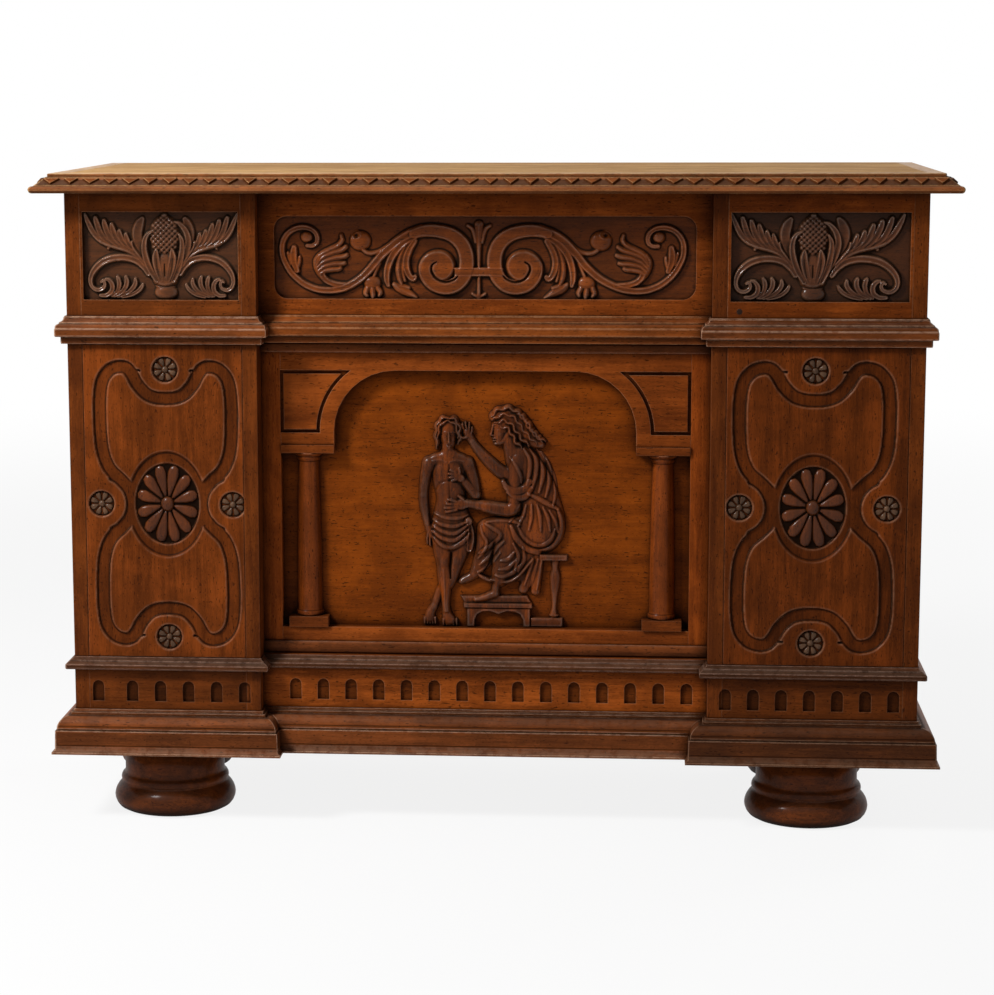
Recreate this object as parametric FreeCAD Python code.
"""Carved walnut coffer with a hinged lid, two front piers, an arched niche and bun feet.

Lengths are millimetres. X runs along the front, Y from front to back and Z up.
The origin is on the floor, under the middle of the lid.
"""
import FreeCAD
import Part
import math
import os
from FreeCAD import Placement, Rotation, Vector

# Heights of the storeys, from the floor up
foot_height = 100.0
base_height = 60.0
arcade_height = 58.0
surbase_height = 17.0
panel_height = 438.0
waist_height = 38.6
frieze_height = 168.1
lid_gap = 0.3
lid_thickness = 26.0

# Widths along the front
carcase_width = 1167.2
lid_end_overhang = 41.4
left_pier_width = 262.0
right_pier_width = 286.0

# Depths from front to back
carcase_depth = 423.7
lid_front_overhang = 38.3
lid_rear_overhang = 18.0
centre_recess = 30.0
niche_setback = 15.0
niche_depth = 18.0

# Boards
face_board = 22.0
post_width = 20.0
post_depth = 60.0
return_board = 20.0
niche_panel = 12.0
front_board = 18.0
back_board = 18.0
back_rail_thickness = 30.0
back_rail_height = 60.0
back_board_count = 5
bearer_width = 150.0
bearer_thickness = 22.0
floor_board = 18.0
floor_board_count = 4

# Mouldings
base_projection = 30.0
surbase_projection = 11.5
waist_projection = 15.0
bead_projection = 6.0
bead_top_height = 14.0
bead_bottom_height = 17.0
lid_moulding_width = 46.0
lid_board_count = 3

# Turned feet
foot_radius = 86.5
foot_inset = 90.0
left_foot_shift = -7.4
left_rear_foot_shift = -45.0
right_rear_foot_shift = 11.4
tenon_width = 36.0
tenon_clearance = 0.2

# Arcade of round-headed flutes
flute_width = 16.0
flute_height = 29.3
flute_sill = 11.5
flute_sunk = 4.0
flute_head_sides = 6
left_flute_spare = 24.4
left_flute_count = 6
left_flute_shift = 9.3
left_flute_end_shift = 8.5
centre_flute_spare = 34.2
centre_flute_count = 15
centre_flute_shift = 8.7
right_flute_spare = 18.6
right_flute_count = 7
right_flute_shift = -4.0

# Sunk strapwork and rosettes on the pier panels
strap_sunk = 3.4
strap_margin = 9.0
strap_end_margin = 18.8
left_strap_shift = 3.3
right_strap_shift = -3.6
left_strap_drop = 3.0
right_strap_drop = 0.5
oval_half_width = 45.5
oval_half_height = 58.0
oval_sunk = 6.0
oval_clearance = 0.3
oval_relief = 6.0
oval_boss_radius = 9.5
oval_petal_count = 12
rosette_radius = 17.0
rosette_sunk = 4.0
rosette_clearance = 0.3
rosette_relief = 4.0
rosette_boss_radius = 4.0
rosette_petal_count = 8
left_rosette_margin = 2.4
right_rosette_margin = 6.6
end_rosette_drop = 13.1

# Arched niche with its columns
stile_width = 26.0
niche_sill_height = 37.0
arch_crown_drop = 39.5
arch_corner_radius = 85.0
arch_band = 20.0
arch_haunch_sides = 8
spandrel_height = 87.0
spandrel_block_height = 17.0
spandrel_groove = 4.5
spandrel_sunk = 4.0
impost_width = 74.6
impost_height = 11.5
impost_projection = 3.0
plinth_width = 55.0
plinth_height = 15.0
column_standoff = 1.0
column_ring_radius = 21.0

# Figure group in the niche
figure_head_room = 49.5
figure_relief_depth = 19.0

# Carved frieze
frieze_border = 24.0
frieze_field_rise = 22.3
frieze_top_border = 26.3
frieze_centre_border = 22.0
frieze_centre_top_border = 33.3
frieze_corner_radius = 18.0
frieze_sunk = 9.0
volute_radius = 33.0
volute_offset = 53.0
strip_width = 9.0

# Ends and lid battens
end_panel_board = 12.0
end_panel_setback = 5.0
end_field_margin = 32.0
end_field_rise = 4.0
batten_width = 60.0
batten_height = 22.0
batten_spacing = 760.0
batten_front_gap = 20.0
batten_rear_gap = 14.0

# Butt hinges
hinge_count = 2
hinge_spacing = 760.0
hinge_length = 70.0
leaf_width = 28.0
leaf_thickness = 2.2
knuckle_radius = 4.0
knuckle_wall_gap = 0.5
knuckle_count = 2
knuckle_end_gap = 0.3
knuckle_groove_gap = 0.6
pin_radius = 2.0
pin_clearance = 0.05
mortise_clearance = 0.1

# One overrun serves every cut
overrun = 5.0

# Moulding sections, bottom to top: share of the projection, share of the height, bulge of the edge
base_shares = [
    (0.00, 0.00, 0.0), (1.00, 0.00, 0.0), (1.00, 0.05, 0.0), (0.86, 0.16, -0.2), (0.84, 0.55, 0.0),
    (0.77, 0.55, 0.0), (0.77, 0.58, 0.0), (0.30, 0.86, 0.2), (0.20, 0.86, 0.0), (0.20, 0.93, 0.0),
    (0.09, 0.94, 0.0), (0.09, 1.00, 0.0), (0.00, 1.00, 0.0)]
surbase_shares = [
    (0.00, 0.00, 0.0), (0.90, 0.00, 0.0), (1.00, 0.10, 0.0), (1.00, 0.40, 0.0), (0.90, 0.48, 0.0),
    (0.60, 0.64, 0.0), (0.50, 0.66, 0.0), (0.50, 0.73, 0.0), (0.14, 0.96, -0.15), (0.14, 1.00, 0.0),
    (0.00, 1.00, 0.0)]
waist_shares = [
    (0.00, 0.00, 0.0), (0.48, 0.02, 0.0), (0.52, 0.08, 0.0), (0.52, 0.26, 0.0), (0.94, 0.28, 0.0),
    (1.00, 0.32, 0.0), (1.00, 0.54, 0.0), (0.94, 0.59, 0.0), (0.72, 0.73, 0.2), (0.62, 0.74, 0.0),
    (0.62, 0.79, 0.0), (0.26, 0.96, -0.2), (0.20, 0.96, 0.0), (0.20, 1.00, 0.0), (0.00, 1.00, 0.0)]
bead_shares = [
    (0.00, 0.00, 0.0), (0.70, 0.00, 0.0), (1.00, 0.20, 0.15), (1.00, 0.75, 0.0), (0.60, 1.00, 0.15),
    (0.00, 1.00, 0.0)]
lid_shares = [
    (0.00, 0.00, 0.0), (0.92, 0.00, 0.0), (0.985, 0.10, 0.12), (1.00, 0.18, 0.0), (0.91, 0.365, 0.2),
    (0.86, 0.365, 0.0), (0.86, 0.40, 0.0), (0.57, 0.80, 0.0), (0.515, 0.81, 0.0), (0.515, 0.95, 0.0),
    (0.49, 1.00, 0.15), (0.00, 1.00, 0.0)]

# Turned sections in short facets: share of the radius, share of the height
foot_shares = [
    (0.82, 0.00), (0.96, 0.07), (1.00, 0.19), (0.96, 0.30), (0.86, 0.39), (0.88, 0.45), (0.82, 0.53),
    (0.82, 1.00)]
column_shares = [(0.83, 0.00), (0.80, 0.45), (0.68, 0.955), (0.98, 0.975), (0.98, 1.00)]

# Rosette petals: share of the turn of one petal, share of the reach
petal_shares = [(0.00, 0.62), (0.27, 0.97), (0.73, 0.97)]

# Strapwork outline in one quarter, from the waist up: shares of the strapwork's half width and of its
# half height, and the bulge of the edge
strap_shares = [
    (0.00, 0.00, 0.0), (0.79, 0.00, 0.0), (0.79, 0.16, 0.0), (0.985, 0.56, 0.12), (0.97, 0.80, 0.05),
    (0.66, 1.00, 0.22), (0.45, 0.985, 0.08), (0.41, 0.935, 0.0), (0.31, 0.925, 0.0), (0.00, 0.925, 0.0)]
island_shares = [
    (0.00, 0.16, 0.0), (0.56, 0.16, 0.0), (0.80, 0.58, 0.10), (0.79, 0.78, 0.03), (0.62, 0.912, 0.20),
    (0.48, 0.88, 0.12), (0.00, 0.715, -0.18)]
strap_notch_share = 0.31
ring_width_share = 1.23
ring_height_share = 1.29
side_circle_share = 0.36

# Limbs of the figure group: start x, z, radius, end x, z, radius, all as shares of the group's height,
# then the share of the relief's depth
figure_limb_shares = [
    (-0.170, 0.882, 0.050, -0.168, 0.835, 0.040, 0.75),
    (-0.168, 0.800, 0.026, -0.168, 0.760, 0.034, 0.60),
    (-0.168, 0.706, 0.062, -0.160, 0.560, 0.056, 0.70),
    (-0.160, 0.560, 0.056, -0.155, 0.465, 0.070, 0.72),
    (-0.247, 0.735, 0.026, -0.270, 0.590, 0.019, 0.60),
    (-0.270, 0.590, 0.019, -0.250, 0.395, 0.018, 0.55),
    (-0.090, 0.725, 0.028, -0.066, 0.592, 0.022, 0.50),
    (-0.066, 0.592, 0.022, -0.128, 0.665, 0.018, 0.80),
    (-0.192, 0.430, 0.042, -0.187, 0.258, 0.027, 0.72),
    (-0.187, 0.258, 0.027, -0.180, 0.062, 0.018, 0.66),
    (-0.180, 0.040, 0.024, -0.168, 0.020, 0.020, 0.75),
    (-0.108, 0.420, 0.044, -0.133, 0.246, 0.026, 0.60),
    (-0.133, 0.246, 0.026, -0.235, 0.090, 0.018, 0.50),
    (-0.240, 0.050, 0.024, -0.250, 0.020, 0.020, 0.60),
    (0.070, 0.890, 0.060, 0.090, 0.850, 0.045, 0.85),
    (0.120, 0.910, 0.050, 0.215, 0.840, 0.036, 0.75),
    (0.130, 0.800, 0.036, 0.180, 0.720, 0.075, 0.75),
    (0.185, 0.715, 0.075, 0.225, 0.470, 0.112, 0.85),
    (0.110, 0.680, 0.040, -0.030, 0.800, 0.022, 0.80),
    (-0.030, 0.800, 0.022, -0.085, 0.865, 0.020, 0.80),
    (0.155, 0.665, 0.048, 0.108, 0.530, 0.042, 0.95),
    (0.108, 0.530, 0.042, -0.060, 0.545, 0.022, 0.95),
    (-0.060, 0.545, 0.022, -0.150, 0.530, 0.024, 0.95),
    (0.215, 0.430, 0.100, 0.020, 0.450, 0.060, 1.00),
    (0.010, 0.440, 0.056, -0.030, 0.230, 0.040, 0.90),
    (-0.035, 0.215, 0.028, -0.095, 0.195, 0.022, 0.85),
    (0.130, 0.350, 0.078, 0.070, 0.190, 0.056, 1.00),
    (0.050, 0.170, 0.026, 0.000, 0.118, 0.024, 0.90),
    (0.205, 0.330, 0.045, 0.190, 0.170, 0.042, 0.70),
    (0.310, 0.300, 0.020, 0.302, 0.060, 0.017, 0.60)]
stool_seat_shares = (0.212, 0.290, 0.358, 0.322, 0.70)
stool_foot_shares = (0.203, 0.0, 0.343, 0.036, 0.60)
footstool_top_shares = (-0.106, 0.082, 0.203, 0.117, 0.90)
footstool_leg_shares = ((-0.082, 0.0, -0.046, 0.082, 0.85), (0.164, 0.0, 0.200, 0.082, 0.85))
footstool_apron_shares = (-0.046, 0.050, 0.164, 0.082, 0.75)

# Leaves beside the fruit: start x, z, radius, end x, z, radius, as shares of half the field's width and
# of its height, measured from the field's bottom middle, for one side; the radii follow the height
leaf_shares = [
    (0.12, 0.40, 0.05, 0.46, 0.62, 0.07),
    (0.46, 0.62, 0.07, 0.86, 0.90, 0.04),
    (0.40, 0.60, 0.06, 0.36, 0.84, 0.03),
    (0.50, 0.60, 0.05, 0.76, 0.64, 0.03),
    (0.10, 0.30, 0.05, 0.45, 0.36, 0.05),
    (0.45, 0.36, 0.05, 0.82, 0.32, 0.05),
    (0.82, 0.32, 0.05, 0.86, 0.13, 0.05)]

# Stems of the centre scroll for one side: shares of half the field's width and of its height
stem_shares = [
    (0.33, 0.62, 0.06, 0.45, 0.36, 0.06),
    (0.45, 0.36, 0.06, 0.62, 0.14, 0.05),
    (0.62, 0.14, 0.05, 0.80, 0.20, 0.05),
    (0.80, 0.20, 0.05, 0.94, 0.52, 0.05),
    (0.94, 0.52, 0.05, 0.89, 0.86, 0.05),
    (0.89, 0.86, 0.05, 0.78, 0.80, 0.06),
    (0.70, 0.34, 0.06, 0.74, 0.66, 0.05),
    (0.60, 0.62, 0.09, 0.60, 0.80, 0.07),
    (0.42, 0.30, 0.06, 0.38, 0.16, 0.03),
    (0.52, 0.24, 0.05, 0.55, 0.08, 0.05)]
bud_shares = [
    (0.00, 0.10, 0.03, 0.00, 0.40, 0.05),
    (0.00, 0.60, 0.05, 0.00, 0.92, 0.03),
    (0.02, 0.62, 0.04, 0.05, 0.90, 0.03),
    (-0.02, 0.62, 0.04, -0.05, 0.90, 0.03)]

# Shares and counts of the carving
fruit_radius_share = 0.18
fruit_height_share = 0.426
fruit_tip_share = 0.45
calyx_height_share = 0.377
calyx_root_share = 0.35
calyx_rim_share = 0.80
ball_radius_share = 0.075
fruit_depth_share = 1.0
calyx_depth_share = 0.85
boss_rise_share = 1.2
leaf_depth_share = 0.72
scroll_depth_share = 0.88
strip_taper_share = 0.9
volute_half_turns = 3
turned_sides = 24
slot_end_sides = 3
strap_arc_sides = 3
oval_sides = 24
disc_sides = 12
boss_sides = 8

# Levels and planes worked out from the sizes above
base_bottom = foot_height
base_top = base_bottom + base_height
surbase_bottom = base_top + arcade_height
panel_bottom = surbase_bottom + surbase_height
panel_top = panel_bottom + panel_height
waist_top = panel_top + waist_height
carcase_top = waist_top + frieze_height
lid_bottom = carcase_top + lid_gap
bearer_top = base_bottom + bearer_thickness
floor_top = bearer_top + floor_board
lid_width = carcase_width + 2 * lid_end_overhang
lid_depth = carcase_depth + lid_front_overhang + lid_rear_overhang
lid_front = -lid_depth / 2
lid_back = lid_depth / 2
pier_face = lid_front + lid_front_overhang
back_face = pier_face + carcase_depth
centre_face = pier_face + centre_recess
niche_face = centre_face + niche_setback
niche_back = niche_face + niche_depth
front_wall_face = niche_back + niche_panel
front_wall_back = front_wall_face + front_board
back_wall_face = back_face - back_board
end_face = carcase_width / 2
end_inner = end_face - post_width
left_inner = -end_face + left_pier_width
right_inner = end_face - right_pier_width
left_axis = (-end_face + left_inner) / 2
right_axis = (right_inner + end_face) / 2
centre_axis = (left_inner + right_inner) / 2
post_back = pier_face + post_depth
rear_post_front = back_face - post_depth
hinge_axis_y = back_face + knuckle_radius + knuckle_wall_gap
hinge_axis_z = carcase_top + lid_gap / 2
niche_floor = panel_bottom + niche_sill_height
strap_half_height = panel_height / 2 - strap_end_margin
left_flute_pitch = (left_pier_width - left_flute_spare) / left_flute_count
centre_flute_pitch = (right_inner - left_inner - centre_flute_spare) / centre_flute_count
right_flute_pitch = (right_pier_width - right_flute_spare) / right_flute_count
arch_head_height = panel_height - niche_sill_height - arch_crown_drop
arch_half_width = (right_inner - left_inner) / 2 - stile_width - impost_width
spandrel_bottom_height = arch_head_height - spandrel_height
impost_bottom_height = spandrel_bottom_height - spandrel_block_height - impost_height
column_offset = arch_half_width + impost_width / 2
figure_height = arch_head_height - figure_head_room
frieze_left_height = frieze_height - frieze_field_rise - frieze_top_border
frieze_centre_height = frieze_height - frieze_field_rise - frieze_centre_top_border


def block(x0, x1, y0, y1, z0, z1):
    """Return a board between two corners."""
    return Part.makeBox(x1 - x0, y1 - y0, z1 - z0, Vector(x0, y0, z0))


def outline_face(points, to_vector):
    """Return a face from points (a, b, bulge); a bulge bows the edge that arrives at its point."""
    edges = []
    for index, (end_a, end_b, bulge) in enumerate(points):
        start_a, start_b = points[index - 1][0], points[index - 1][1]
        start = to_vector(start_a, start_b)
        end = to_vector(end_a, end_b)
        if bulge == 0:
            edges.append(Part.LineSegment(start, end).toShape())
        else:
            middle_a = (start_a + end_a) / 2 + (end_b - start_b) * bulge
            middle_b = (start_b + end_b) / 2 - (end_a - start_a) * bulge
            edges.append(Part.Arc(start, to_vector(middle_a, middle_b), end).toShape())
    return Part.Face(Part.Wire(edges))


def chorded(points, sides):
    """Return the points of an outline with every bowed edge cut into short chords."""
    chords = []
    for index, (end_a, end_b, bulge) in enumerate(points):
        if bulge != 0:
            start_a, start_b = points[index - 1][0], points[index - 1][1]
            sweep = 4 * math.atan(2 * bulge)
            for step in range(1, sides):
                turn = sweep * (step / sides - 1 / 2)
                along = math.sin(turn) / (2 * math.sin(sweep / 2)) + 1 / 2
                bow = (math.cos(turn) - math.cos(sweep / 2)) / (2 * math.sin(sweep / 2))
                chord_a = start_a + along * (end_a - start_a) + bow * (end_b - start_b)
                chord_b = start_b + along * (end_b - start_b) - bow * (end_a - start_a)
                chords.append((chord_a, chord_b, 0))
        chords.append((end_a, end_b, 0))
    return chords


def moulding_run(shares, projection, height, length, start_corner, end_corner):
    """Return a moulding along +X that projects to -Y.

    A corner of 1 is mitred for an outer corner, -1 for an inner corner and 0 is cut square.
    """
    points = [(a * projection, b * height, bulge) for a, b, bulge in shares]
    section = outline_face(points, lambda a, b: Vector(-projection - overrun, -a, b))
    bar = section.extrude(Vector(length + 2 * (projection + overrun), 0, 0))
    reach = projection + overrun
    plan = [
        (start_corner * overrun, overrun), (-start_corner * reach, -reach),
        (length + end_corner * reach, -reach), (length - end_corner * overrun, overrun)]
    corners = [Vector(x, y, -overrun) for x, y in plan]
    cutter = Part.Face(Part.makePolygon(corners + corners[:1])).extrude(Vector(0, 0, height + 2 * overrun))
    return bar.common(cutter)


def placed(shape, x, y, z, turn_deg):
    """Return the shape turned about Z and moved to a point."""
    moved = shape.copy()
    moved.Placement = Placement(Vector(x, y, z), Rotation(Vector(0, 0, 1), turn_deg))
    return moved


def turned_solid(shares, radius, height):
    """Return a turned solid that stands on the origin: a ruled loft through many-sided rings."""
    angles = [2 * math.pi * index / turned_sides for index in range(turned_sides + 1)]
    rings = []
    for a, b in shares:
        reach = a * radius
        corners = [Vector(reach * math.cos(angle), reach * math.sin(angle), b * height) for angle in angles]
        rings.append(Part.makePolygon(corners))
    return Part.makeLoft(rings, True, True)


def tapered_slot(x0, z0, r0, x1, z1, r1):
    """Return the face round two circles of a limb, petal or leaf, in the plane of the front.

    Its ends are faceted, as a carver blocks them out.
    """
    heading = math.atan2(z1 - z0, x1 - x0)
    lean = math.acos((r0 - r1) / math.hypot(x1 - x0, z1 - z0))
    corners = []
    for x, z, radius, first, last in ((x1, z1, r1, -lean, lean), (x0, z0, r0, lean, 2 * math.pi - lean)):
        for index in range(slot_end_sides + 1):
            angle = heading + first + (last - first) * index / slot_end_sides
            corners.append(Vector(x + radius * math.cos(angle), 0, z + radius * math.sin(angle)))
    return Part.Face(Part.makePolygon(corners + corners[:1]))


def raised(face, ground, height):
    """Return a flat face lifted from the ground plane towards the front."""
    lifted = face.copy()
    lifted.translate(Vector(0, ground, 0))
    return lifted.extrude(Vector(0, -height, 0))


def fused(shapes):
    """Return one clean solid from overlapping solids."""
    return shapes[0].multiFuse(shapes[1:]).removeSplitter()


def foot(x, y):
    """Return one turned bun foot with its tenon."""
    body = turned_solid(foot_shares, foot_radius, foot_height)
    half = tenon_width / 2
    tenon = block(-half, half, -half, half, foot_height, foot_height + bearer_thickness)
    return placed(body.fuse(tenon).removeSplitter(), x, y, 0, 0)


def foot_places(left):
    """Return where the front and the rear foot of one side stand."""
    front_y, rear_y = pier_face + foot_inset, back_face - foot_inset
    if left:
        return [(left_axis + left_foot_shift, front_y), (left_axis + left_rear_foot_shift, rear_y)]
    return [(right_axis, front_y), (right_axis + right_rear_foot_shift, rear_y)]


def feet(rear):
    """Return the front or the rear pair of feet."""
    row = 1 if rear else 0
    return [foot(*foot_places(left)[row]) for left in (True, False)]


def base_bearers():
    """Return the two cross bearers that hold the feet."""
    bearers = []
    for left in (True, False):
        axis = left_axis if left else right_axis
        bearer = block(axis - bearer_width / 2, axis + bearer_width / 2, pier_face + face_board,
                       back_wall_face, base_bottom, bearer_top)
        for x, y in foot_places(left):
            half = tenon_width / 2 + tenon_clearance
            mortise = block(x - half, x + half, y - half, y + half, base_bottom - overrun,
                            bearer_top + overrun)
            bearer = bearer.cut(mortise)
        bearers.append(bearer)
    return bearers


def floor_boards():
    """Return the boards of the chest's floor, laid side by side."""
    board = (back_wall_face - front_wall_back) / floor_board_count
    starts = [front_wall_back + index * board for index in range(floor_board_count)]
    return [block(-end_inner, end_inner, y, y + board, bearer_top, floor_top) for y in starts]


def pier_moulding(shares, projection, height, z, left):
    """Return a moulding across one pier, with its return into the centre."""
    side_run = moulding_run(shares, projection, height, centre_recess, 1 if left else -1, -1 if left else 1)
    if left:
        front_run = moulding_run(shares, projection, height, left_pier_width, 1, 1)
        front_run = placed(front_run, -end_face, pier_face, z, 0)
        side_run = placed(side_run, left_inner, pier_face, z, 90)
    else:
        front_run = moulding_run(shares, projection, height, right_pier_width, 1, 1)
        front_run = placed(front_run, right_inner, pier_face, z, 0)
        side_run = placed(side_run, right_inner, centre_face, z, -90)
    return [fused([front_run, side_run])]


def centre_moulding(shares, projection, height, z):
    """Return a moulding across the recessed centre."""
    run = moulding_run(shares, projection, height, right_inner - left_inner, -1, -1)
    return [placed(run, left_inner, centre_face, z, 0)]


def end_mouldings(shares, projection, height, z):
    """Return the mouldings along the two ends."""
    left_run = moulding_run(shares, projection, height, carcase_depth, 0, 1)
    right_run = moulding_run(shares, projection, height, carcase_depth, 1, 0)
    return [placed(left_run, -end_face, back_face, z, -90), placed(right_run, end_face, pier_face, z, 90)]


def flute(x, face):
    """Return the cutter of one round-headed flute."""
    half = flute_width / 2
    bottom = base_top + flute_sill
    spring = bottom + flute_height - half
    points = [(x - half, bottom, 0), (x + half, bottom, 0), (x + half, spring, 0), (x - half, spring, 0.5)]
    head = outline_face(chorded(points, flute_head_sides), lambda a, b: Vector(a, 0, b))
    return raised(head, face + flute_sunk, flute_sunk + overrun)


def arcade_board(x0, x1, face, places):
    """Return an arcade board with its row of flutes."""
    board = block(x0, x1, face, face + face_board, base_bottom, panel_bottom)
    return [board.cut([flute(x, face) for x in places])]


def row_places(middle, pitch, count):
    """Return evenly spaced places about a middle."""
    return [middle + (index - (count - 1) / 2) * pitch for index in range(count)]


def pier_flute_places(left):
    """Return one pier's flutes; the left pier's outermost stands a little apart."""
    if left:
        places = row_places(left_axis + left_flute_shift, left_flute_pitch, left_flute_count)
        return [places[0] - left_flute_end_shift] + places[1:]
    return row_places(right_axis + right_flute_shift, right_flute_pitch, right_flute_count)


def corner_post(right, rear):
    """Return one corner post of the carcase."""
    x0 = end_inner if right else -end_face
    y0 = rear_post_front if rear else pier_face
    return [block(x0, x0 + post_width, y0, y0 + post_depth, base_bottom, carcase_top)]


def pier_return(left):
    """Return the board that closes a pier's inner side, cut where the row of flutes runs on to it."""
    x0 = left_inner - return_board if left else right_inner
    board = block(x0, x0 + return_board, pier_face, front_wall_face, base_bottom, carcase_top)
    return [board.cut([flute(x, pier_face) for x in pier_flute_places(left)])]


def pier_span(left):
    """Return the clear span between a pier's post and its return board."""
    if left:
        return -end_inner, left_inner - return_board
    return right_inner + return_board, end_inner


def panel_sizes(left):
    """Return the middle of a pier panel's strapwork, its half width and its middle height."""
    x0, x1 = pier_span(left)
    shift = left_strap_shift if left else right_strap_shift
    drop = left_strap_drop if left else right_strap_drop
    return (x0 + x1) / 2 + shift, (x1 - x0) / 2 - strap_margin, (panel_bottom + panel_top) / 2 - drop


def four_quarters(shares, half_width):
    """Return the faces of a quarter outline, mirrored to all four quarters of a panel."""
    points = [(a * half_width, b * strap_half_height, bulge) for a, b, bulge in shares]
    upper = outline_face(chorded(points, strap_arc_sides), lambda a, b: Vector(a, 0, b))
    origin = Vector(0, 0, 0)
    faces = []
    for face in (upper, upper.mirror(origin, Vector(0, 0, 1))):
        faces += [face, face.mirror(origin, Vector(1, 0, 0))]
    return faces


def oval_face(x, z, half_width, half_height, sides):
    """Return an upright oval face in the plane of the front, in short chords."""
    angles = [2 * math.pi * index / sides for index in range(sides + 1)]
    corners = [Vector(x + half_width * math.cos(angle), 0, z + half_height * math.sin(angle))
               for angle in angles]
    return Part.Face(Part.makePolygon(corners))


def disc_face(x, z, radius):
    """Return a round face in the plane of the front, in short chords."""
    return oval_face(x, z, radius, radius, disc_sides)


def rosette_places(left):
    """Return the places of a pier panel's small rosettes about its middle."""
    half_width = panel_sizes(left)[1]
    margin = left_rosette_margin if left else right_rosette_margin
    side = half_width + strap_margin - rosette_radius - margin
    end = strap_half_height - end_rosette_drop
    return [(0, end), (0, -end), (side, 0), (-side, 0)]


def pier_panel(left):
    """Return a pier panel with its sunk strapwork and the beds of its rosettes."""
    middle, half_width, middle_z = panel_sizes(left)
    x0, x1 = pier_span(left)
    ring = oval_face(0, 0, oval_half_width * ring_width_share, oval_half_height * ring_height_share,
                     oval_sides)
    lobes = four_quarters(strap_shares, half_width)
    islands = [face.cut(ring) for face in four_quarters(island_shares, half_width)]
    channel = lobes[0].multiFuse(lobes[1:]).cut(islands).fuse(ring)
    notch = strap_notch_share * half_width
    side = side_circle_share * half_width
    places = rosette_places(left)
    notches = [disc_face(x, z, notch if x == 0 else side) for x, z in places]
    channel = channel.cut(notches).removeSplitter()
    beds = [disc_face(x, z, rosette_radius + rosette_clearance) for x, z in places]
    oval = oval_face(0, 0, oval_half_width + oval_clearance, oval_half_height + oval_clearance, oval_sides)
    cutters = [raised(face, strap_sunk, strap_sunk + overrun) for face in channel.Faces]
    cutters += [raised(face, rosette_sunk, rosette_sunk + overrun) for face in beds]
    cutters.append(raised(oval, oval_sunk, oval_sunk + overrun))
    board = block(x0, x1, pier_face, pier_face + face_board, panel_bottom, panel_top)
    for cutter in cutters:
        cutter.translate(Vector(middle, pier_face, middle_z))
        board = board.cut(cutter)
    return [board]


def flower(half_width, half_height, boss_radius, petal_count, relief):
    """Return a rosette of petals about a boss, on the origin's plane."""
    rim = []
    for index in range(petal_count):
        for turn, reach in petal_shares:
            angle = (index + turn) * 2 * math.pi / petal_count
            across = reach * half_width * math.cos(angle)
            up = reach * half_height * math.sin(angle)
            rim.append(Vector(across, 0, up))
    petals = Part.Face(Part.makePolygon(rim + rim[:1]))
    boss = oval_face(0, 0, boss_radius, boss_radius, boss_sides)
    return fused([raised(petals, 0, relief), raised(boss, 0, relief * boss_rise_share)])


def oval_rosettes():
    """Return the two large oval rosettes, seated in their beds."""
    rosettes = []
    for left in (True, False):
        middle, half_width, middle_z = panel_sizes(left)
        rosette = flower(oval_half_width, oval_half_height, oval_boss_radius, oval_petal_count, oval_relief)
        rosettes.append(placed(rosette, middle, pier_face + oval_sunk, middle_z, 0))
    return rosettes


def small_rosettes():
    """Return the eight small rosettes, seated in their beds."""
    rosettes = []
    for left in (True, False):
        middle, half_width, middle_z = panel_sizes(left)
        for x, z in rosette_places(left):
            rosette = flower(rosette_radius, rosette_radius, rosette_boss_radius, rosette_petal_count,
                             rosette_relief)
            rosettes.append(placed(rosette, middle + x, pier_face + rosette_sunk, middle_z + z, 0))
    return rosettes


def niche_stile(left):
    """Return one upright of the niche's frame."""
    x0 = left_inner if left else right_inner - stile_width
    return [block(x0, x0 + stile_width, niche_face, niche_back, panel_bottom, panel_top)]


def niche_bottom_rail():
    """Return the rail under the niche."""
    return [block(left_inner + stile_width, right_inner - stile_width, niche_face, niche_back,
                  panel_bottom, niche_floor)]


def arch_opening():
    """Return the face of the niche's flat arch with rounded haunches."""
    top = niche_floor + arch_head_height
    spring = top - arch_corner_radius
    bottom = niche_floor + impost_bottom_height
    bow = (1 - math.sqrt(1 / 2)) / math.sqrt(2)
    points = [
        (-arch_half_width, bottom, 0), (arch_half_width, bottom, 0), (arch_half_width, spring, 0),
        (arch_half_width - arch_corner_radius, top, bow), (-arch_half_width + arch_corner_radius, top, 0),
        (-arch_half_width, spring, bow)]
    return outline_face(chorded(points, arch_haunch_sides), lambda a, b: Vector(centre_axis + a, 0, b))


def spandrel(inset, sign):
    """Return the face of one spandrel panel, drawn in by an inset."""
    top = niche_floor + arch_head_height
    spring = top - arch_corner_radius
    outer = (right_inner - left_inner) / 2 - stile_width
    corner = arch_half_width - arch_corner_radius
    x0 = centre_axis + sign * corner
    x1 = centre_axis + sign * (outer - inset)
    bottom = niche_floor + spandrel_bottom_height
    box = block(min(x0, x1), max(x0, x1), 0, overrun, bottom + inset, top - inset)
    arch = Part.makeCylinder(arch_corner_radius + arch_band + inset, 2 * overrun,
                             Vector(x0, -overrun / 2, spring), Vector(0, 1, 0))
    panel = box.cut(arch)
    return max(panel.Faces, key=lambda face: -face.CenterOfMass.y)


def niche_arch_board():
    """Return the head of the niche: the arch with its two grooved spandrels."""
    bottom = niche_floor + impost_bottom_height + impost_height
    board = block(left_inner + stile_width, right_inner - stile_width, niche_face, niche_back,
                  bottom, panel_top)
    cutters = [raised(arch_opening(), niche_back + overrun, niche_depth + 2 * overrun)]
    for sign in (1, -1):
        groove = spandrel(0, sign).cut(spandrel(spandrel_groove, sign))
        cutters.append(raised(groove, niche_face + spandrel_sunk, spandrel_sunk + overrun))
    return [board.cut(cutters)]


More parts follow.
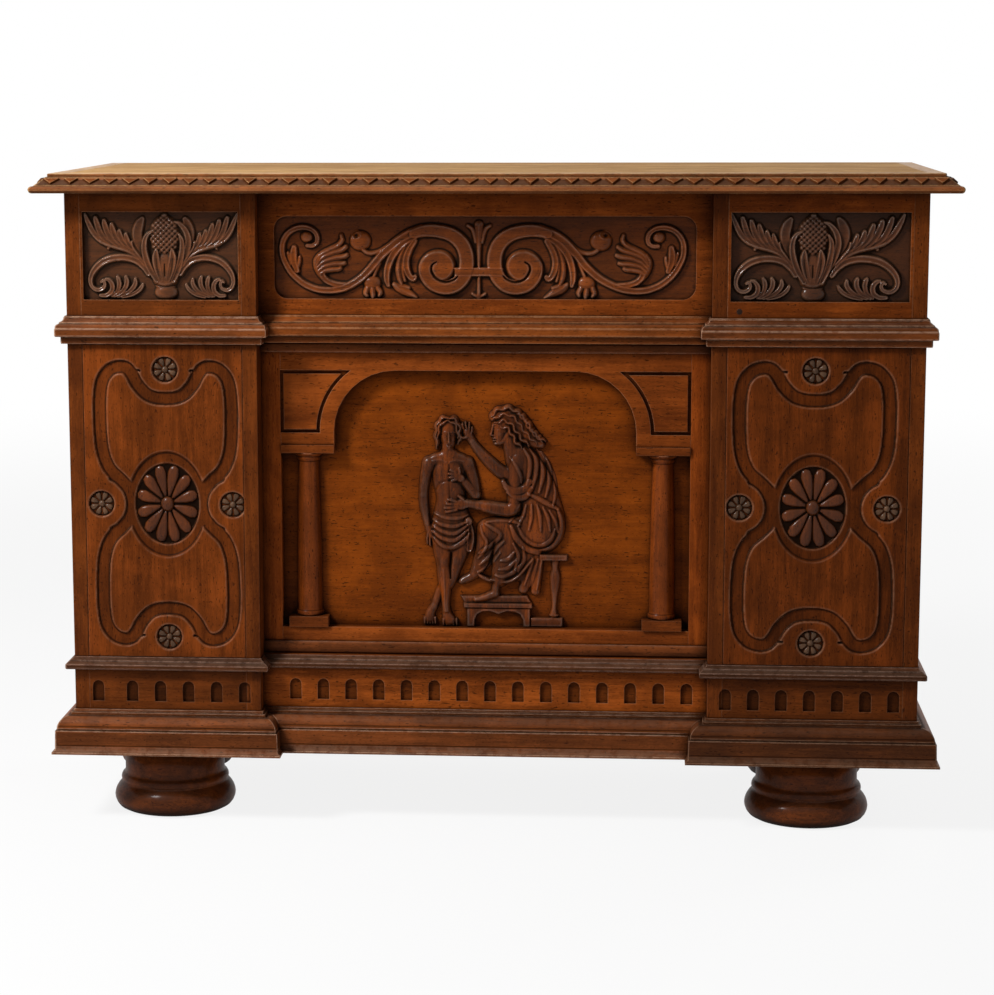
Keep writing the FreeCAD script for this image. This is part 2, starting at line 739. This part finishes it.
def niche_beads():
    """Return the bead mouldings above and below the niche's frame."""
    length = right_inner - left_inner
    top = moulding_run(bead_shares, bead_projection, bead_top_height, length, 0, 0)
    bottom = moulding_run(bead_shares, bead_projection, bead_bottom_height, length, 0, 0)
    return [placed(top, left_inner, niche_face, panel_top - bead_top_height, 0),
            placed(bottom, left_inner, niche_face, panel_bottom, 0)]


def niche_back_panel():
    """Return the panel behind the niche."""
    return [block(left_inner, right_inner, niche_back, front_wall_face, panel_bottom, panel_top)]


def columns():
    """Return the two turned half columns."""
    bottom = niche_floor + plinth_height
    height = impost_bottom_height - plinth_height
    shaft = turned_solid(column_shares, column_ring_radius, height)
    behind = block(-2 * column_ring_radius, 2 * column_ring_radius, column_standoff, 2 * column_ring_radius,
                   -overrun, height + overrun)
    half = shaft.cut(behind)
    y = niche_back - column_standoff
    return [placed(half, centre_axis + sign * column_offset, y, bottom, 0) for sign in (-1, 1)]


def column_plinths():
    """Return the square plinths under the columns."""
    front = niche_back - column_ring_radius - column_standoff
    half = plinth_width / 2
    axes = [centre_axis + sign * column_offset for sign in (-1, 1)]
    top = niche_floor + plinth_height
    return [block(x - half, x + half, front, niche_back, niche_floor, top) for x in axes]


def imposts():
    """Return the impost blocks on which the arch springs."""
    bottom = niche_floor + impost_bottom_height
    top = bottom + impost_height
    front = niche_face - impost_projection
    outer = (right_inner - left_inner) / 2 - stile_width
    blocks = []
    for sign in (-1, 1):
        x0, x1 = sorted((centre_axis + sign * arch_half_width, centre_axis + sign * outer))
        blocks.append(block(x0, x1, front, niche_back, bottom, top))
    return blocks


def figure_block(shares):
    """Return a squared piece of the figure group's furniture."""
    x0, z0, x1, z1, depth = shares
    return block(x0 * figure_height, x1 * figure_height, -depth * figure_relief_depth, 0,
                 z0 * figure_height, z1 * figure_height)


def figure_relief():
    """Return the niche's two figures with a stool and a footstool, blocked out limb by limb."""
    pieces = []
    for shares in figure_limb_shares:
        slot = tapered_slot(*[share * figure_height for share in shares[:-1]])
        pieces.append(raised(slot, 0, shares[-1] * figure_relief_depth))
    squared = [stool_seat_shares, stool_foot_shares, footstool_top_shares, footstool_apron_shares]
    pieces += [figure_block(shares) for shares in squared + list(footstool_leg_shares)]
    group = fused(pieces)
    return [placed(solid, centre_axis, niche_back, niche_floor, 0) for solid in group.Solids]


def frieze_field(left):
    """Return a pier frieze's sunk field: middle, half width and bottom."""
    if left:
        x0, x1 = -end_face + frieze_border, left_inner - frieze_border
    else:
        x0, x1 = right_inner + frieze_border, end_face - frieze_border
    return (x0 + x1) / 2, (x1 - x0) / 2, waist_top + frieze_field_rise


def frieze_panel(left):
    """Return a pier's frieze board with its sunk field."""
    x0, x1 = pier_span(left)
    middle, half_width, bottom = frieze_field(left)
    board = block(x0, x1, pier_face, pier_face + face_board, panel_top, carcase_top)
    field = block(middle - half_width, middle + half_width, pier_face - overrun, pier_face + frieze_sunk,
                  bottom, bottom + frieze_left_height)
    return [board.cut(field)]


def frieze_panel_centre():
    """Return the centre frieze board with its round-cornered sunk field."""
    board = block(left_inner, right_inner, centre_face, centre_face + face_board, panel_top, carcase_top)
    x0 = left_inner + frieze_centre_border
    x1 = right_inner - frieze_centre_border
    bottom = waist_top + frieze_field_rise
    top = bottom + frieze_centre_height
    field = block(x0, x1, centre_face - overrun, centre_face + frieze_sunk, bottom, top)
    upright = [edge for edge in field.Edges if abs(edge.tangentAt(edge.FirstParameter).y) == 1]
    return [board.cut(field.makeFillet(frieze_corner_radius, upright))]


def mirrored_slots(table, half_width, height):
    """Return the slots of a table of shares on both sides of the middle."""
    slots = []
    for x0, z0, r0, x1, z1, r1 in table:
        for sign in (1, -1):
            slots.append(tapered_slot(sign * x0 * half_width, z0 * height, r0 * height,
                                      sign * x1 * half_width, z1 * height, r1 * height))
    return slots


def fruit_carving(half_width):
    """Return a pineapple on its calyx between acanthus leaves, on the field's bottom middle."""
    ball_radius = ball_radius_share * frieze_left_height
    fruit_radius = fruit_radius_share * frieze_left_height
    fruit_height = fruit_height_share * frieze_left_height
    base = 2 * ball_radius
    waist = base + calyx_height_share * frieze_left_height
    ball = disc_face(0, ball_radius, ball_radius)
    calyx = tapered_slot(0, base + calyx_root_share * fruit_radius, calyx_root_share * fruit_radius,
                         0, waist, calyx_rim_share * fruit_radius)
    tip = fruit_tip_share * fruit_radius
    fruit = tapered_slot(0, waist + fruit_radius, fruit_radius, 0, waist + fruit_height - tip, tip)
    round_parts = [raised(ball, 0, frieze_sunk * calyx_depth_share),
                   raised(calyx, 0, frieze_sunk * calyx_depth_share),
                   raised(fruit, 0, frieze_sunk * fruit_depth_share)]
    leaves = [raised(slot, 0, frieze_sunk * leaf_depth_share)
              for slot in mirrored_slots(leaf_shares, half_width, frieze_left_height)]
    return fused(round_parts + leaves)


def fruit_carvings():
    """Return the two pier friezes' carvings."""
    carvings = []
    for left in (True, False):
        middle, half_width, bottom = frieze_field(left)
        for solid in fruit_carving(half_width).Solids:
            carvings.append(placed(solid, middle, pier_face + frieze_sunk, bottom, 0))
    return carvings


def half_ring(x, z, radius, width, upper):
    """Return half of a flat ring in the plane of the front."""
    ring = disc_face(x, z, radius).cut(disc_face(x, z, radius - width))
    z0 = z if upper else z - 2 * radius
    half = block(x - 2 * radius, x + 2 * radius, -overrun, overrun, z0, z0 + 2 * radius)
    return ring.common(half)


def volute(sign):
    """Return one large spiral scroll of the centre frieze, wound from half rings."""
    x = sign * volute_offset
    z = frieze_centre_height / 2
    faces = []
    radius = volute_radius
    shift = sign * strip_width / 2
    for turn in range(volute_half_turns):
        faces.append(half_ring(x, z, radius, strip_width * strip_taper_share ** turn, turn % 2 == 0))
        x += shift if turn % 2 == 0 else -shift
        radius -= strip_width / 2
    return faces + [disc_face(x, z, strip_width)]


def scroll_carving():
    """Return the centre frieze's carving: two scrolls, their stems and leaves, a bud and its tie."""
    half_width = (right_inner - left_inner) / 2 - frieze_centre_border
    height = frieze_centre_height
    slots = mirrored_slots(stem_shares, half_width, height)
    slots += [tapered_slot(x0 * half_width, z0 * height, r0 * height,
                           x1 * half_width, z1 * height, r1 * height)
              for x0, z0, r0, x1, z1, r1 in bud_shares]
    pieces = [raised(slot, 0, frieze_sunk * leaf_depth_share) for slot in slots]
    for sign in (1, -1):
        for face in volute(sign):
            pieces += [raised(part, 0, frieze_sunk * scroll_depth_share) for part in face.Faces]
    tie = block(-volute_offset + strip_width, volute_offset - strip_width, -frieze_sunk, 0,
                (height - strip_width) / 2, (height + strip_width) / 2)
    carving = fused(pieces + [tie])
    bottom = waist_top + frieze_field_rise
    return [placed(solid, centre_axis, centre_face + frieze_sunk, bottom, 0) for solid in carving.Solids]


def end_boards(bottom, top):
    """Return a plain board on each end, between its posts."""
    return [block(-end_face, -end_inner, post_back, rear_post_front, bottom, top),
            block(end_inner, end_face, post_back, rear_post_front, bottom, top)]


def end_panel(right):
    """Return one raised and fielded end panel, built for the right end and mirrored for the left."""
    x0 = end_face - end_panel_setback - end_panel_board
    x1 = end_face - end_panel_setback
    board = block(x0, x1, post_back, rear_post_front, panel_bottom, panel_top)
    rims = []
    for x, margin in ((x1, end_field_margin - end_field_rise), (x1 + end_field_rise, end_field_margin)):
        y0, y1 = post_back + margin, rear_post_front - margin
        z0, z1 = panel_bottom + margin, panel_top - margin
        corners = [Vector(x, y0, z0), Vector(x, y1, z0), Vector(x, y1, z1), Vector(x, y0, z1)]
        rims.append(Part.makePolygon(corners + corners[:1]))
    field = Part.makeLoft(rims, True, True)
    panel = board.fuse(field).removeSplitter()
    if right:
        return [panel]
    return [panel.mirror(Vector(0, 0, 0), Vector(1, 0, 0))]


def front_wall():
    """Return the plain inner front of the chest."""
    return [block(-end_inner, end_inner, front_wall_face, front_wall_back, bearer_top, carcase_top)]


def back_boards():
    """Return the upright boards of the back."""
    board = 2 * end_inner / back_board_count
    starts = [-end_inner + index * board for index in range(back_board_count)]
    z0 = base_bottom + back_rail_height
    z1 = carcase_top - back_rail_height
    return [block(x, x + board, back_wall_face, back_face, z0, z1) for x in starts]


def back_bottom_rail():
    """Return the rail under the back boards."""
    top = base_bottom + back_rail_height
    return [block(-end_inner, end_inner, back_wall_face, back_face, base_bottom, top)]


def hinge_places():
    """Return the middles of the hinges along the back."""
    return row_places(0, hinge_spacing, hinge_count)


def back_top_rail():
    """Return the rail along the top of the back, mortised for the hinges."""
    rail = block(-end_inner, end_inner, back_face - back_rail_thickness, back_face,
                 carcase_top - back_rail_height, carcase_top)
    half = hinge_length / 2 + mortise_clearance
    for x in hinge_places():
        mortise = block(x - half, x + half, back_face - leaf_width - mortise_clearance, back_face + overrun,
                        carcase_top - leaf_thickness, carcase_top + overrun)
        rail = rail.cut(mortise)
    return [rail]


def lid_boards():
    """Return the lid's boards; the rear one is housed for the hinges and their knuckles."""
    half_width = lid_width / 2 - lid_moulding_width
    front = lid_front + lid_moulding_width
    board = (lid_back - front) / lid_board_count
    starts = [front + index * board for index in range(lid_board_count)]
    top = lid_bottom + lid_thickness
    boards = [block(-half_width, half_width, y, y + board, lid_bottom, top) for y in starts]
    half = hinge_length / 2 + knuckle_groove_gap
    for x in hinge_places():
        mortise = block(x - half, x + half, back_face - leaf_width - mortise_clearance, hinge_axis_y,
                        lid_bottom - overrun, lid_bottom + leaf_thickness)
        groove = Part.makeCylinder(knuckle_radius + knuckle_groove_gap, 2 * half,
                                   Vector(x - half, hinge_axis_y, hinge_axis_z), Vector(1, 0, 0))
        boards[-1] = boards[-1].cut([mortise, groove])
    return boards


def lid_moulding_front():
    """Return the moulding along the lid's front edge, mitred at both corners."""
    length = lid_width - 2 * lid_moulding_width
    run = moulding_run(lid_shares, lid_moulding_width, lid_thickness, length, 1, 1)
    return [placed(run, -lid_width / 2 + lid_moulding_width, lid_front + lid_moulding_width, lid_bottom, 0)]


def lid_moulding_ends():
    """Return the mouldings along the lid's two ends."""
    length = lid_depth - lid_moulding_width
    x = lid_width / 2 - lid_moulding_width
    left_run = moulding_run(lid_shares, lid_moulding_width, lid_thickness, length, 0, 1)
    right_run = moulding_run(lid_shares, lid_moulding_width, lid_thickness, length, 1, 0)
    return [placed(left_run, -x, lid_back, lid_bottom, -90),
            placed(right_run, x, lid_front + lid_moulding_width, lid_bottom, 90)]


def lid_battens():
    """Return the two battens under the lid."""
    front = front_wall_back + batten_front_gap
    back = back_face - back_rail_thickness - batten_rear_gap
    middles = (-batten_spacing / 2, batten_spacing / 2)
    half = batten_width / 2
    return [block(x - half, x + half, front, back, lid_bottom - batten_height, lid_bottom) for x in middles]


def hinge_leaf(x, on_lid):
    """Return one hinge leaf with its own knuckles, bored for the pin."""
    z0 = lid_bottom if on_lid else carcase_top - leaf_thickness
    z1 = z0 + leaf_thickness
    start = x - hinge_length / 2
    step = hinge_length / knuckle_count
    pieces = [block(start, start + hinge_length, back_face - leaf_width, back_face, z0, z1)]
    for index in range(1 if on_lid else 0, knuckle_count, 2):
        x0 = start + index * step + knuckle_end_gap / 2
        length = step - knuckle_end_gap
        pieces.append(block(x0, x0 + length, back_face - leaf_width / 2, hinge_axis_y, z0, z1))
        pieces.append(Part.makeCylinder(knuckle_radius, length, Vector(x0, hinge_axis_y, hinge_axis_z),
                                        Vector(1, 0, 0)))
    bore = Part.makeCylinder(pin_radius + pin_clearance, hinge_length + 2 * overrun,
                             Vector(start - overrun, hinge_axis_y, hinge_axis_z), Vector(1, 0, 0))
    return fused(pieces).cut(bore)


def hinge_leaves(on_lid):
    """Return the leaves of all hinges on the lid or on the carcase."""
    return [hinge_leaf(x, on_lid) for x in hinge_places()]


def hinge_pins():
    """Return the hinge pins."""
    starts = [Vector(x - hinge_length / 2, hinge_axis_y, hinge_axis_z) for x in hinge_places()]
    return [Part.makeCylinder(pin_radius, hinge_length, start, Vector(1, 0, 0)) for start in starts]


def mouldings(name, shares, projection, height, z):
    """Return one storey's mouldings by node name."""
    return {
        name + "_left_pier": pier_moulding(shares, projection, height, z, True),
        name + "_centre": centre_moulding(shares, projection, height, z),
        name + "_right_pier": pier_moulding(shares, projection, height, z, False),
        name + "_ends": end_mouldings(shares, projection, height, z)}


def nodes():
    """Return every piece of the coffer as lists of solids by node name."""
    left_span = pier_span(True)
    right_span = pier_span(False)
    parts = {
        "feet_front": feet(False),
        "feet_rear": feet(True),
        "base_bearers": base_bearers(),
        "floor_boards": floor_boards(),
        "arcade_board_left": arcade_board(*left_span, pier_face, pier_flute_places(True)),
        "arcade_board_centre": arcade_board(left_inner, right_inner, centre_face,
                                            row_places(centre_axis + centre_flute_shift,
                                                       centre_flute_pitch, centre_flute_count)),
        "arcade_board_right": arcade_board(*right_span, pier_face, pier_flute_places(False)),
        "end_base_boards": end_boards(base_bottom, panel_bottom),
        "end_friezes": end_boards(panel_top, carcase_top),
        "end_panel_left": end_panel(False),
        "end_panel_right": end_panel(True),
        "corner_post_front_left": corner_post(False, False),
        "corner_post_front_right": corner_post(True, False),
        "corner_post_rear_left": corner_post(False, True),
        "corner_post_rear_right": corner_post(True, True),
        "pier_return_left": pier_return(True),
        "pier_return_right": pier_return(False),
        "pier_panel_left": pier_panel(True),
        "pier_panel_right": pier_panel(False),
        "oval_rosettes": oval_rosettes(),
        "small_rosettes": small_rosettes(),
        "niche_stile_left": niche_stile(True),
        "niche_stile_right": niche_stile(False),
        "niche_bottom_rail": niche_bottom_rail(),
        "niche_arch_board": niche_arch_board(),
        "niche_beads": niche_beads(),
        "niche_back_panel": niche_back_panel(),
        "columns": columns(),
        "column_plinths": column_plinths(),
        "imposts": imposts(),
        "figure_relief": figure_relief(),
        "frieze_panel_left": frieze_panel(True),
        "frieze_panel_centre": frieze_panel_centre(),
        "frieze_panel_right": frieze_panel(False),
        "fruit_carvings": fruit_carvings(),
        "scroll_carving": scroll_carving(),
        "front_wall": front_wall(),
        "back_boards": back_boards(),
        "back_bottom_rail": back_bottom_rail(),
        "back_top_rail": back_top_rail(),
        "lid_boards": lid_boards(),
        "lid_moulding_front": lid_moulding_front(),
        "lid_moulding_ends": lid_moulding_ends(),
        "lid_battens": lid_battens(),
        "hinge_leaves_carcase": hinge_leaves(False),
        "hinge_leaves_lid": hinge_leaves(True),
        "hinge_pins": hinge_pins()}
    parts.update(mouldings("base_moulding", base_shares, base_projection, base_height, base_bottom))
    parts.update(mouldings("surbase_moulding", surbase_shares, surbase_projection, surbase_height,
                           surbase_bottom))
    parts.update(mouldings("waist_moulding", waist_shares, waist_projection, waist_height, panel_top))
    return parts


def main():
    """Write one STEP file for each node."""
    os.makedirs("parts", exist_ok=True)
    for name, solids in nodes().items():
        shape = solids[0] if len(solids) == 1 else Part.makeCompound(solids)
        if not shape.isValid():
            raise ValueError("not a valid shape: " + name)
        shape.exportStep("parts/" + name + ".step")
        print(name, len(shape.Solids))


main()
